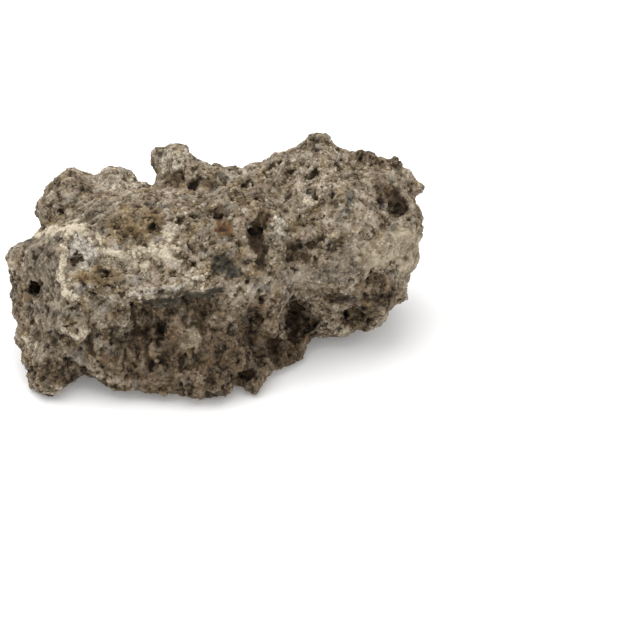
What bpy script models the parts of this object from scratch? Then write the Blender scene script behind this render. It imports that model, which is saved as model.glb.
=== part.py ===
"""Fulgurite: a hand-sized mass of sand and soil fused by lightning, in one piece.

Frame: metres, +Z up, +X along the specimen's length, -Y towards its broad front.
The origin is on the ground, under the middle of the specimen.

Most forms are stated on a side of the specimen, as an eye sees it from there:
across (to the right), up (up the picture) and out (towards the eye), in millimetres.
"""

import math
import random

import bmesh
import bpy
from mathutils import Euler, Matrix, Vector
from mathutils.bvhtree import BVHTree

MM = 0.001

LENGTH = 142.0 * MM

CORE_HEIGHT = 32.0 * MM

# The sides: turn about Z and height of the eye, in degrees.
FRONT = (0, 35)
BACK = (180, 20)
LEFT = (-90, 15)
RIGHT = (90, 15)

# Brings the middle of the finished outline over the origin and sinks the feet a little.
CENTRING = (0.3 * MM, -1.1 * MM, -0.7 * MM)

# Mesh sizes while the forms are joined, and the share of the triangles that the solid keeps.
BLEND_VOXEL = 1.25 * MM
CLEAN_VOXEL = 1.1 * MM
HOLLOW_VOXEL = 0.7 * MM
SOLID_SHARE = 0.105

# The large masses in the specimen's own axes: middle and half sizes.
MASSES = (
    # the left mass, its end and its feet
    ((-24, 1, 31), (34, 28, 26)),
    ((-47, -6, 26), (20, 24, 24)),
    ((-52, -16, 12), (14, 15, 12)),
    ((-12, -15, 13), (28, 17, 14)),
    # the middle
    ((8, 2, 33), (22, 24, 25)),
    ((20, 12, 19), (22, 17, 18)),
    # the right mass
    ((41, 11, 34), (26, 23, 26)),
    ((40, 20, 20), (25, 19, 20.6)),
    # the back and the heel under it
    ((-21, 19, 31), (35, 17, 17)),
    ((41, 19, 32), (23, 16, 18)),
    ((-20, 19, 17), (36, 16, 17)),
)

# Knobs of the rim on the front side: across, up, out, then half sizes across, up and out.
RIM_KNOBS = (
    # the left shoulder, a dark block above the end
    (-48.5, 20.5, -10, 12.8, 11.0, 12),
    (-48.5, 27.0, -12, 6.4, 7.0, 8),
    (-56.2, 15.8, -9, 6.9, 7.2, 8),
    # the two small knobs between shoulder and horn
    (-37.2, 28.9, -12, 4.6, 5.8, 7),
    (-33.0, 28.9, -12, 4.6, 5.8, 7),
    (-36.0, 22.0, -10, 10.0, 7.5, 10),
    (-26.8, 25.0, -12, 4.2, 5.0, 8),
    # the horn
    (-14.0, 34.8, -10, 7.0, 7.4, 8),
    (-18.8, 36.6, -11, 4.8, 4.6, 5),
    (-8.8, 33.6, -10, 4.2, 4.8, 6),
    (-5.6, 32.2, -10, 4.0, 4.4, 6),
    (-11.0, 24.0, -9, 10.8, 11.0, 12),
    # the saddle
    (-3.2, 25.3, -8, 9.0, 10.8, 10),
    (6.5, 24.0, -8, 9.0, 10.0, 10),
    (13.5, 29.6, -9, 5.4, 6.6, 7),
    # the crown
    (22.4, 29.0, -8, 8.2, 9.0, 9),
    (27.5, 32.0, -8, 8.6, 9.0, 9),
    (31.9, 38.3, -9, 5.6, 6.4, 8),
    (36.6, 38.5, -9, 5.6, 6.2, 8),
    (35.0, 30.0, -6, 11.0, 11.0, 11),
    (43.5, 32.0, -8, 7.4, 7.2, 8),
    (48.0, 34.0, -9, 5.0, 5.0, 5),
    (53.0, 32.5, -9, 6.0, 6.4, 6),
    (60.4, 29.0, -10, 6.4, 7.4, 7),
    (63.8, 25.6, -10, 4.8, 5.6, 6),
    (67.8, 26.8, -10, 3.0, 2.8, 3.4),
    (52.0, 22.0, -6, 13.5, 12.5, 12),
    # the right edge
    (60.5, 13.5, -6, 9.8, 11.0, 11),
    (59.5, 4.6, -6, 10.0, 9.6, 11),
    (56.5, -6.0, -9, 8.8, 9.0, 11),
    (50.5, -13.4, -13, 8.5, 9.2, 10),
    (40.5, -15.6, -14, 9.5, 8.6, 11),
    (33.4, -17.0, -14, 7.5, 7.8, 10),
    # the right flank of the front foot, its little knobs and spurs
    (21.4, -27.2, -6, 8.2, 8.2, 10),
    (26.0, -24.0, -10, 5.4, 8.5, 9),
    (17.0, -34.0, 4, 3.4, 3.8, 5),
    (13.2, -37.2, 8, 3.3, 6.4, 6),
    (6.5, -30.0, 11, 6.5, 6.2, 8),
    (9.8, -34.2, 4, 5.2, 5.4, 7),
    (-0.5, -36.4, 12, 5.8, 8.6, 8),
    (2.4, -39.6, 12, 3.6, 5.0, 5),
    (-8.0, -37.0, 11, 8.0, 7.7, 9),
    (-19.0, -34.6, 10, 9.5, 9.2, 9),
    (-31.0, -33.6, 10, 8.0, 9.4, 9),
    (-40.0, -30.5, 10, 7.5, 7.5, 9),
    # the left end's foot
    (-55.6, -35.5, 8, 7.0, 8.5, 9),
    (-59.0, -35.0, 5, 5.8, 8.0, 8),
    (-49.6, -30.5, 9, 3.6, 4.0, 6),
    (-61.0, -24.0, 2, 6.2, 9.0, 9),
    # the left end's edge
    (-64.3, -12.0, -2, 5.4, 9.0, 8),
    (-64.3, 1.0, -4, 6.6, 7.6, 8),
    (-60.6, 5.2, -6, 6.5, 5.4, 7),
)

# Ridges and bosses raised on a side: across, up, how far the middle is sunk, then half sizes
# across and up, and thickness outwards; the last number leans the form (degrees).
FRONT_RIDGES = (
    # the pale crest that parts the top from the end
    (-51.0, -5.0, 0.5, 2.8, 8.0, 4.6, 0),
    (-51.5, 9.5, 1.0, 5.0, 3.0, 4.4, 25),
    (-43.0, 10.0, 1.0, 5.5, 2.8, 4.4, -25),
    (-33.0, 6.5, 1.0, 7.0, 2.8, 4.2, -18),
    (-24.0, 3.5, 1.0, 6.0, 2.8, 4.0, -14),
    # the ledge across the left mass
    (-40.0, -7.5, 1.0, 9.0, 3.8, 5.5, 0),
    (-27.0, -9.0, 0.5, 9.0, 3.6, 6.4, 4),
    (-15.0, -7.5, 0.5, 9.0, 3.8, 6.8, 12),
    (-4.0, -5.0, 0.5, 8.0, 4.0, 6.6, 16),
    # the corner between the front and the end
    (-46.0, -18.0, 2.0, 5.0, 9.0, 4.5, 8),
    (-38.5, -24.0, 2.5, 6.0, 7.0, 4.5, 0),
    # the boss under the ledge and the ribs of the front
    (-3.0, -19.0, 2.5, 7.0, 8.0, 4.0, 0),
    (6.0, -13.0, 2.0, 6.5, 6.0, 5.0, 10),
    (4.0, -27.0, 2.5, 4.0, 8.0, 4.0, 5),
    (18.0, -13.5, 2.0, 4.4, 12.0, 6.0, 4),
    # the smooth band that falls from the right edge
    (62.0, 12.5, 2.0, 6.5, 6.5, 4.0, 35),
    (54.0, 6.5, 2.0, 8.0, 4.6, 4.0, 32),
    (44.5, 1.0, 2.0, 8.5, 4.4, 4.4, 28),
    (34.0, -3.0, 2.0, 7.0, 4.0, 4.4, 12),
    # the low lobe under the band
    (54.0, -9.5, 3.0, 8.5, 7.0, 6.0, 20),
    (42.0, -6.5, 3.0, 6.0, 3.5, 5.0, 10),
    # swells of the crown
    (27.0, 16.0, 3.0, 7.5, 6.5, 4.5, 0),
    (40.0, 19.0, 3.0, 8.5, 7.0, 4.5, 0),
    (49.0, 12.0, 3.0, 6.0, 5.0, 4.0, 0),
    (-6.0, 13.0, 3.0, 7.0, 6.0, 4.0, 0),
    (-22.0, 14.0, 3.0, 8.0, 5.0, 4.0, 0),
)

# Hollows sunk into the front: across, up, how far the middle is sunk, then half sizes across,
# up and inwards; the last number leans the hollow (degrees).
FRONT_HOLLOWS = (
    # the deep hole and the small one in the end
    (-60.0, -7.4, 6.0, 2.3, 3.7, 14.0, 0),
    (-59.4, -23.3, 2.0, 2.5, 2.5, 6.0, 0),
    (-63.0, -2.0, 5.0, 1.8, 1.8, 11.0, 0),
    # the shelf between the shoulder and the end
    (-64.5, 13.0, 3.0, 5.8, 4.8, 12.0, 20),
    # the grey hollow behind the pale crest and the brown channel beside it
    (-45.5, 3.0, -1.0, 5.4, 5.0, 5.0, 0),
    (-45.8, 0.6, 0.0, 2.4, 1.6, 3.4, 10),
    (-33.0, 0.0, -1.0, 8.0, 3.2, 4.6, -6),
    # the undercut below the ledge
    (-27.6, -14.6, 1.0, 3.8, 3.6, 6.0, -20),
    (-22.6, -16.6, 1.0, 4.4, 4.6, 7.0, 15),
    (-26.0, -20.4, 0.5, 3.2, 3.6, 5.5, 35),
    (-18.0, -20.6, 0.0, 3.2, 2.6, 4.0, -30),
    (-14.6, -14.8, 0.0, 4.2, 2.6, 4.6, 14),
    (-5.4, -12.4, 0.0, 5.2, 2.0, 3.6, 14),
    # the horn's hollow and its notch
    (-13.8, 30.0, -0.5, 3.4, 3.0, 4.0, 0),
    (-20.6, 37.2, 0.0, 1.4, 1.6, 4.0, 0),
    # the dent above the orange spot, the dent by the saddle
    (1.3, 18.0, -0.5, 3.4, 2.8, 3.5, 0),
    (11.5, 25.0, -0.5, 2.8, 3.0, 3.5, 0),
    (4.0, -1.0, -0.5, 4.4, 2.4, 3.0, 12),
    # the cavities of the gulley between the masses
    (16.2, 16.2, 0.0, 2.2, 3.2, 4.0, -25),
    (13.0, 11.6, 1.0, 2.8, 4.2, 6.0, 12),
    (14.6, 6.4, 0.5, 2.6, 4.4, 5.6, -14),
    (15.6, 1.4, 0.0, 1.6, 3.0, 3.6, -30),
    (25.2, 8.0, 0.0, 2.6, 2.0, 3.2, 20),
    (29.6, 5.4, 0.0, 2.6, 3.0, 3.8, -15),
    (25.8, 2.6, 0.0, 2.4, 2.2, 3.2, 0),
    (20.5, 3.4, -0.5, 3.0, 3.6, 3.6, 0),
    (26.2, -14.0, 1.0, 3.0, 4.4, 6.5, -12),
    (26.6, -20.6, 2.0, 3.0, 5.0, 8.0, 6),
    (25.2, -26.0, 1.0, 2.4, 3.6, 6.0, 20),
    (30.8, -17.6, 0.5, 2.4, 4.4, 4.6, 14),
    # the grooves between the ribs of the front foot
    (19.6, -27.0, 1.0, 2.0, 5.6, 4.6, 6),
    (13.4, -27.4, 0.0, 1.7, 5.2, 3.4, -4),
    (8.6, -24.4, 0.0, 1.5, 4.4, 2.8, 8),
    (-9.8, -31.2, 0.0, 1.5, 4.6, 3.2, -6),
    (-13.4, -33.6, 0.0, 1.3, 3.6, 2.6, 4),
    (-26.6, -32.0, 0.0, 1.5, 3.8, 2.8, 12),
    (-34.8, -27.2, 0.0, 1.8, 3.4, 3.0, -24),
    # the pits by the low lobe
    (37.8, -10.8, 0.5, 3.0, 2.0, 4.6, 10),
    (42.4, -12.8, 0.5, 2.4, 1.8, 3.8, 0),
    (47.4, -16.2, 0.0, 3.4, 1.5, 3.4, 18),
    # the deep pit of the right shoulder
    (61.8, 23.8, 0.5, 2.4, 2.8, 4.6, 30),
    (60.4, 19.4, 1.0, 2.8, 3.2, 5.6, -20),
    (57.2, 24.8, 0.0, 2.2, 2.2, 3.4, 0),
    # the cave between the spurs, the notch by the left foot
    (11.2, -36.4, 1.0, 3.0, 1.9, 6.5, 0),
    (-43.5, -40.2, 2.0, 6.0, 3.0, 14.0, 0),
    # wide dents of the front below the ledge
    (-13.0, -27.0, -0.5, 5.0, 4.0, 3.4, 0),
    (-31.0, -23.5, -1.0, 4.0, 4.0, 3.0, 0),
)

# The flat broken face of the left end: a point of it on the front side (across, up, out),
# its turn to the left in degrees, and the size of the block that it takes off.
END_FACE_AT = (-60.5, -8.0, 11.0)
END_FACE_TURN = 50
END_FACE_BLOCK = (60 * MM, 90 * MM, 40 * MM)

# The sides that the front hides get knobs and hollows of the same kind, spread by seeded dice.
# Each side with half the width and height that they cover, then their counts and sizes.
HIDDEN_SIDES = ((BACK, 58, 28), (LEFT, 30, 24), (RIGHT, 30, 24))
KNOBS_PER_SIDE = 34
KNOB_SIZES = (4.0, 8.5)
KNOB_SEED = 11
HOLLOWS_PER_SIDE = 18
HOLLOW_SIZES = (2.6, 5.5)
HOLLOW_SEED = 5


def side_axes(side):
    """A side's directions across, up and out, as columns in the specimen's axes."""
    turn, height = (math.radians(angle) for angle in side)
    sine, cosine = math.sin(height), math.cos(height)
    facing_front = Matrix(((1, 0, 0), (0, sine, -cosine), (0, cosine, sine)))
    return Euler((0, 0, turn)).to_matrix() @ facing_front


def on_side(side, across, up, out):
    """A point given on a side, in the specimen's axes and in metres."""
    return side_axes(side) @ Vector((across, up, out)) * MM + Vector((0, 0, CORE_HEIGHT))


def find_surface(tree, side, across, up):
    """The first point of the forms that the eye meets on a side, or None past their outline."""
    axes = side_axes(side)
    eye = on_side(side, across, up, 200)
    return tree.ray_cast(eye, -axes.col[2])[0]


def new_mesh_object(name, collection):
    obj = bpy.data.objects.new(name, bpy.data.meshes.new(name))
    collection.objects.link(obj)
    return obj


def add_ellipsoid(mesh, centre, turn, half_sizes, subdivisions=3):
    """One closed ellipsoid with its middle at centre and its axes turned by a 3x3 matrix."""
    scale = Matrix.Diagonal(Vector(half_sizes) * MM).to_4x4()
    matrix = Matrix.Translation(centre) @ turn.to_4x4() @ scale
    bmesh.ops.create_icosphere(mesh, subdivisions=subdivisions, radius=1.0, matrix=matrix)


def hidden_from_front(tree, centre, reach):
    """Whether a form of that reach, in millimetres, stays behind the others for the front eye."""
    across, up, out = side_axes(FRONT).col
    steps = (across, -across, up, -up, across + up, across - up, up - across, -across - up)
    tips = (centre + step.normalized() * reach * MM for step in steps)
    return all(tree.ray_cast(tip, out)[0] is not None for tip in tips)


def add_to_surface(mesh, tree, side, rows):
    """Ellipsoids set into the surface where the eye meets it on a side, one for each row."""
    axes = side_axes(side)
    for across, up, sunk, *half_sizes, lean in rows:
        surface = find_surface(tree, side, across, up)
        if surface is None:
            surface = on_side(side, across, up, -8)
        centre = surface - axes.col[2] * sunk * MM
        if side != FRONT and not hidden_from_front(tree, centre, max(half_sizes)):
            continue
        lean_turn = Euler((0, 0, math.radians(lean))).to_matrix()
        add_ellipsoid(mesh, centre, axes @ lean_turn, half_sizes)


def main_forms():
    """The large masses and the knobs of the rim in one mesh, still overlapping."""
    mesh = bmesh.new()
    for middle, half_sizes in MASSES:
        add_ellipsoid(mesh, Vector(middle) * MM, Matrix.Identity(3), half_sizes, 4)
    for across, up, out, *half_sizes in RIM_KNOBS:
        add_ellipsoid(mesh, on_side(FRONT, across, up, out), side_axes(FRONT), half_sizes)
    return mesh


def spread_rows(dice, count, half_width, half_height, sizes, sunk, thickness):
    """Rows of knobs or hollows spread over a side by the dice; sunk and thickness in sizes."""
    rows = []
    for _ in range(count):
        across = dice.uniform(-half_width, half_width)
        up = dice.uniform(-half_height, half_height * 0.8)
        size = dice.uniform(*sizes)
        tall = size * dice.uniform(0.75, 1.2)
        lean = dice.uniform(0, 90)
        rows.append((across, up, sunk * size, size, tall, size * thickness, lean))
    return rows


def fused_forms(collection):
    """All raised forms of the specimen in one mesh object."""
    mesh = main_forms()
    tree = BVHTree.FromBMesh(mesh)
    add_to_surface(mesh, tree, FRONT, FRONT_RIDGES)
    dice = random.Random(KNOB_SEED)
    for side, half_width, half_height in HIDDEN_SIDES:
        rows = spread_rows(dice, KNOBS_PER_SIDE, half_width, half_height, KNOB_SIZES, 0.35, 0.8)
        add_to_surface(mesh, tree, side, rows)
    obj = new_mesh_object("fulgurite", collection)
    mesh.to_mesh(obj.data)
    mesh.free()
    return obj


def hollow_forms(collection):
    """All hollows of the specimen in one mesh object, joined by its own voxel mesh."""
    forms = main_forms()
    tree = BVHTree.FromBMesh(forms)
    forms.free()
    mesh = bmesh.new()
    add_to_surface(mesh, tree, FRONT, FRONT_HOLLOWS)
    dice = random.Random(HOLLOW_SEED)
    for side, half_width, half_height in HIDDEN_SIDES:
        rows = spread_rows(dice, HOLLOWS_PER_SIDE, half_width, half_height, HOLLOW_SIZES, -0.15, 0.9)
        add_to_surface(mesh, tree, side, rows)
    obj = new_mesh_object("hollows", collection)
    mesh.to_mesh(obj.data)
    mesh.free()
    add_voxel_join(obj, "join the hollows", HOLLOW_VOXEL)
    return obj


def add_voxel_join(obj, name, voxel):
    remesh = obj.modifiers.new(name, "REMESH")
    remesh.mode = "VOXEL"
    remesh.voxel_size = voxel


def add_cut(obj, name, cutter):
    cut = obj.modifiers.new(name, "BOOLEAN")
    cut.operation = "DIFFERENCE"
    cut.solver = "EXACT"
    cut.object = cutter


def add_relief(obj, name, kind, size, strength, middle=0.5):
    """Moves the surface along its normals by a solid pattern of that grain size and depth."""
    texture = bpy.data.textures.new(name, kind)
    texture.noise_scale = size
    relief = obj.modifiers.new(name, "DISPLACE")
    relief.texture = texture
    relief.texture_coords = "LOCAL"
    relief.direction = "NORMAL"
    relief.strength = strength
    relief.mid_level = middle


def block_cutter(name, collection, size, matrix):
    mesh = bmesh.new()
    shape = matrix @ Matrix.Diagonal(Vector(size)).to_4x4()
    bmesh.ops.create_cube(mesh, size=1.0, matrix=shape)
    obj = new_mesh_object(name, collection)
    mesh.to_mesh(obj.data)
    mesh.free()
    return obj


def end_face_cutter(collection):
    """A slanted block that takes off the left end in a flat, broken face."""
    turn = side_axes(FRONT) @ Euler((0, -math.radians(END_FACE_TURN), 0)).to_matrix()
    middle = on_side(FRONT, *END_FACE_AT) + turn.col[2] * END_FACE_BLOCK[2] / 2
    matrix = Matrix.Translation(middle) @ turn.to_4x4()
    return block_cutter("end_face_cutter", collection, END_FACE_BLOCK, matrix)


def ground_cutter(collection):
    """A block below the ground, which cuts the feet flat."""
    size = (2 * LENGTH, 2 * LENGTH, LENGTH / 2)
    below = Matrix.Translation((0, 0, -size[2] / 2))
    return block_cutter("ground_cutter", collection, size, below)


def fuse(stone, hollows, end_face, ground):
    """Joins the forms into one solid, sinks the hollows, roughens it and cuts the flat faces."""
    add_voxel_join(stone, "join the forms", BLEND_VOXEL)
    add_cut(stone, "sink the hollows", hollows)
    add_voxel_join(stone, "clean the cut rims", CLEAN_VOXEL)
    soften = stone.modifiers.new("soften the creases", "SMOOTH")
    soften.factor = 0.5
    soften.iterations = 2
    add_relief(stone, "swells", "CLOUDS", 9 * MM, 2.2 * MM)
    add_relief(stone, "knobs", "VORONOI", 6 * MM, -2.8 * MM, 0.40)
    add_cut(stone, "break the left end", end_face)
    add_voxel_join(stone, "even out the mesh", CLEAN_VOXEL)
    add_relief(stone, "grain", "CLOUDS", 3.5 * MM, 1.8 * MM)
    thin = stone.modifiers.new("thin the mesh", "DECIMATE")
    thin.ratio = SOLID_SHARE
    add_cut(stone, "flat feet", ground)


def fused_sand():
    material = bpy.data.materials.new("fused_sand")
    material.use_nodes = True
    shader = material.node_tree.nodes["Principled BSDF"]
    shader.inputs["Base Color"].default_value = (0.235, 0.195, 0.150, 1.0)
    shader.inputs["Roughness"].default_value = 0.85
    shader.inputs["Metallic"].default_value = 0.0
    return material


def main():
    for obj in list(bpy.data.objects):
        bpy.data.objects.remove(obj)
    scene = bpy.context.scene
    parts = bpy.data.collections.new("fulgurite")
    cutters = bpy.data.collections.new("cutters")
    scene.collection.children.link(parts)
    scene.collection.children.link(cutters)

    stone = fused_forms(parts)
    stone.data.materials.append(fused_sand())
    hollows = hollow_forms(cutters)
    end_face = end_face_cutter(cutters)
    ground = ground_cutter(cutters)
    for helper in (hollows, end_face, ground):
        helper.hide_render = True
        helper.display_type = "WIRE"
    for obj in (stone, hollows, end_face):
        obj.location = CENTRING

    fuse(stone, hollows, end_face, ground)


if __name__ == "__main__":
    main()
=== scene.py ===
"""Looks of the fulgurite: its sintered skin, the sand grains on it, the floor, lights and camera.

Places on the specimen are stated on its front picture, in millimetres: across to the right and
up the picture, both from the middle of the front, and out towards the eye.
"""

import logging
import math
from dataclasses import dataclass
from enum import Enum
from typing import Any, Mapping, Optional, Sequence, Union

import bpy
import numpy as np
from mathutils import Matrix, Vector, noise


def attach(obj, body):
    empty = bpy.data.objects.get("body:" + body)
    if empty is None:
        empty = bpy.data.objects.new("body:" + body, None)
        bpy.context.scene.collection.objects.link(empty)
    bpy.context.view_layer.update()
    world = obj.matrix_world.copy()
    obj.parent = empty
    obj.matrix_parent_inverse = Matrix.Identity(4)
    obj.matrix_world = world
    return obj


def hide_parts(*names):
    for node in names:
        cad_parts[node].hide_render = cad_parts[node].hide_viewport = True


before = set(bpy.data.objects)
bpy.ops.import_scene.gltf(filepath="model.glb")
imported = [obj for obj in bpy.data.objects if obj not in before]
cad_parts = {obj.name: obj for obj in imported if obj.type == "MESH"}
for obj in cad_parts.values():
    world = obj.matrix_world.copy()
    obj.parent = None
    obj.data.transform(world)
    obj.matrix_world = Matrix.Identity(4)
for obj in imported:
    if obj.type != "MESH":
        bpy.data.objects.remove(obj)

LOG = logging.getLogger("fulgurite")

MM = 0.001
NODE = "fulgurite"
BODY = "root"
CLUMP = 4.2 * MM
PATCH_REACH, PATCH_FADE = 1.25, 0.5
STROKE_REACH, STROKE_FADE = 1.5, 1.0

Colour = tuple[float, float, float, float]
Triple = tuple[float, float, float]
Span = tuple[float, float]


def srgb(code: str) -> Colour:
    """Turns a display colour into the linear colour that shaders use.

    Args:
        code: The colour as six hexadecimal digits.

    Returns:
        Linear red, green and blue, and an alpha of 1.
    """
    parts = (int(code[i:i + 2], 16) / 255 for i in (0, 2, 4))
    linear = [p / 12.92 if p <= 0.04045 else ((p + 0.055) / 1.055) ** 2.4 for p in parts]
    return (*linear, 1.0)


@dataclass(frozen=True)
class FrontPicture:
    """The plane of the front picture, which the eye meets squarely from the front and above."""

    elevation: float = math.radians(35)
    middle: Triple = (0.3 * MM, -1.1 * MM, 31.3 * MM)
    eye: Triple = (35.1, -18.2, 1200.0)

    def axes(self) -> Matrix:
        """Returns the directions across, up and out as the columns of a matrix."""
        sine, cosine = math.sin(self.elevation), math.cos(self.elevation)
        return Matrix(((1, 0, 0), (0, sine, -cosine), (0, cosine, sine)))

    def place(self, across: float, up: float, out: float) -> Vector:
        """Turns a place on the picture into metres in the specimen's frame.

        Args:
            across: Millimetres to the right of the middle.
            up: Millimetres up the picture from the middle.
            out: Millimetres towards the eye.

        Returns:
            The same place in the specimen's frame.
        """
        return Vector(self.middle) + self.axes() @ Vector((across, up, out)) * MM

    def read(self, points: np.ndarray) -> np.ndarray:
        """Turns points in metres into millimetres on the picture, as the eye sees them on it.

        Args:
            points: One row of X, Y and Z for each point.

        Returns:
            One row of across, up and out for each point.
        """
        rows = (points - np.array(self.middle)) @ np.array(self.axes()) / MM
        eye = np.array(self.eye)
        nearness = eye[2] / (eye[2] - rows[:, 2:])
        rows[:, :2] = eye[:2] + (rows[:, :2] - eye[:2]) * nearness
        return rows

    def facing(self, normals: np.ndarray) -> np.ndarray:
        """Returns how squarely each normal faces the eye, from -1 to 1."""
        return normals @ np.array(self.axes().col[2])


FRONT = FrontPicture()


class Finish(Enum):
    """The looks that patches of the skin can have, by the name of their attribute."""

    CREAM = "cream"
    TAN = "tan"
    RUST = "rust"
    GLASS = "glass"
    UMBER = "umber"
    # painted shade: a dark coat laid in hollows, gulleys, clefts, holes and under the ledge, where
    # shade falls
    PAINTED_SHADE = "painted_shade"
    ASH = "ash"
    SAND = "sand"
    CLAY = "clay"


CREAM, TAN, RUST, GLASS, UMBER, PAINTED_SHADE, ASH, SAND, CLAY = Finish


class Blend(Enum):
    """How a finish is laid over the body's own colours, by the name that mixing nodes use."""

    COVER = "MIX"
    STAIN = "MULTIPLY"


@dataclass(frozen=True)
class Tone:
    """The darkest and palest colour of a finish, its calm, its ribs and how it is laid on.

    A calm of 1 is smooth and one below 0 is rougher. Ribs of 1 stand out upright over the finish.
    """

    dark: str
    light: str
    calm: float = 0.0
    ribs: float = 0.0
    blend: Blend = Blend.COVER


# in the order in which they are laid over each other
TONES: dict[Finish, Tone] = {
    # umber: a darkening stain, partly the body's own dark brown and partly painted shade in
    # hollows, gulleys and on the low front
    UMBER: Tone("C7BDB2", "C7BDB2", -0.1, 1.0, Blend.STAIN),
    TAN: Tone("DFD4BE", "DFD4BE", blend=Blend.STAIN),
    CLAY: Tone("3C3429", "9C8E7B", 0.3, 0.2),
    SAND: Tone("6A5D48", "BCAE97", 0.5),
    ASH: Tone("696053", "DBD3C5", 0.2),
    CREAM: Tone("6C5D48", "D6CAB3", 0.2),
    GLASS: Tone("0E0C09", "5A5344", 0.0),
    RUST: Tone("3A2616", "80603F", 0.2),
    # painted shade, laid where shade falls in hollows, clefts and holes and under the ledge
    PAINTED_SHADE: Tone("1B130A", "54412C", 0.0, 0.6),
}


def soft_edge(distance: np.ndarray, reach: float, fade: float) -> np.ndarray:
    """Works out a cover that is full in the middle and ends in a soft edge.

    Args:
        distance: How far each point is from the middle, as a share of the half size.
        reach: The distance at which the cover ends.
        fade: How wide the edge is in which it fades.

    Returns:
        A number from 0 to 1 for each point.
    """
    inside = np.clip((reach - distance) / fade, 0, 1)
    return inside * inside * (3 - 2 * inside)


@dataclass(frozen=True)
class Patch:
    """An oval patch of one finish on the front: its middle, half sizes, lean and strength."""

    finish: Finish
    across: float
    up: float
    half_across: float
    half_up: float
    lean: float = 0.0
    strength: float = 1.0

    def weights(self, picture: np.ndarray) -> np.ndarray:
        """Works out how strongly the patch covers each point.

        Args:
            picture: One row of across and up for each point, with its edge noise added.

        Returns:
            A number from 0 to 1 for each point.
        """
        turn = math.radians(self.lean)
        x, y = picture[:, 0] - self.across, picture[:, 1] - self.up
        along = (x * math.cos(turn) + y * math.sin(turn)) / self.half_across
        aside = (y * math.cos(turn) - x * math.sin(turn)) / self.half_up
        return self.strength * soft_edge(np.hypot(along, aside), PATCH_REACH, PATCH_FADE)


@dataclass(frozen=True)
class Stroke:
    """A narrow stripe of one finish on the front, along a line of places, raised or sunk."""

    finish: Finish
    line: tuple[tuple[float, float], ...]
    half_width: float
    strength: float = 1.0
    rise: float = 0.0

    def weights(self, picture: np.ndarray) -> np.ndarray:
        """Works out how strongly the stripe covers each point, before its own strength.

        Args:
            picture: One row of across and up for each point, with its edge noise added.

        Returns:
            A number from 0 to 1 for each point.
        """
        nearest = np.full(len(picture), np.inf)
        for start, end in zip(self.line, self.line[1:]):
            origin, run = np.array(start), np.subtract(end, start)
            share = np.clip((picture - origin) @ run / (run @ run), 0, 1)
            gap = picture - origin - share[:, None] * run
            nearest = np.minimum(nearest, np.hypot(gap[:, 0], gap[:, 1]))
        return soft_edge(nearest / self.half_width, STROKE_REACH, STROKE_FADE)


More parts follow.
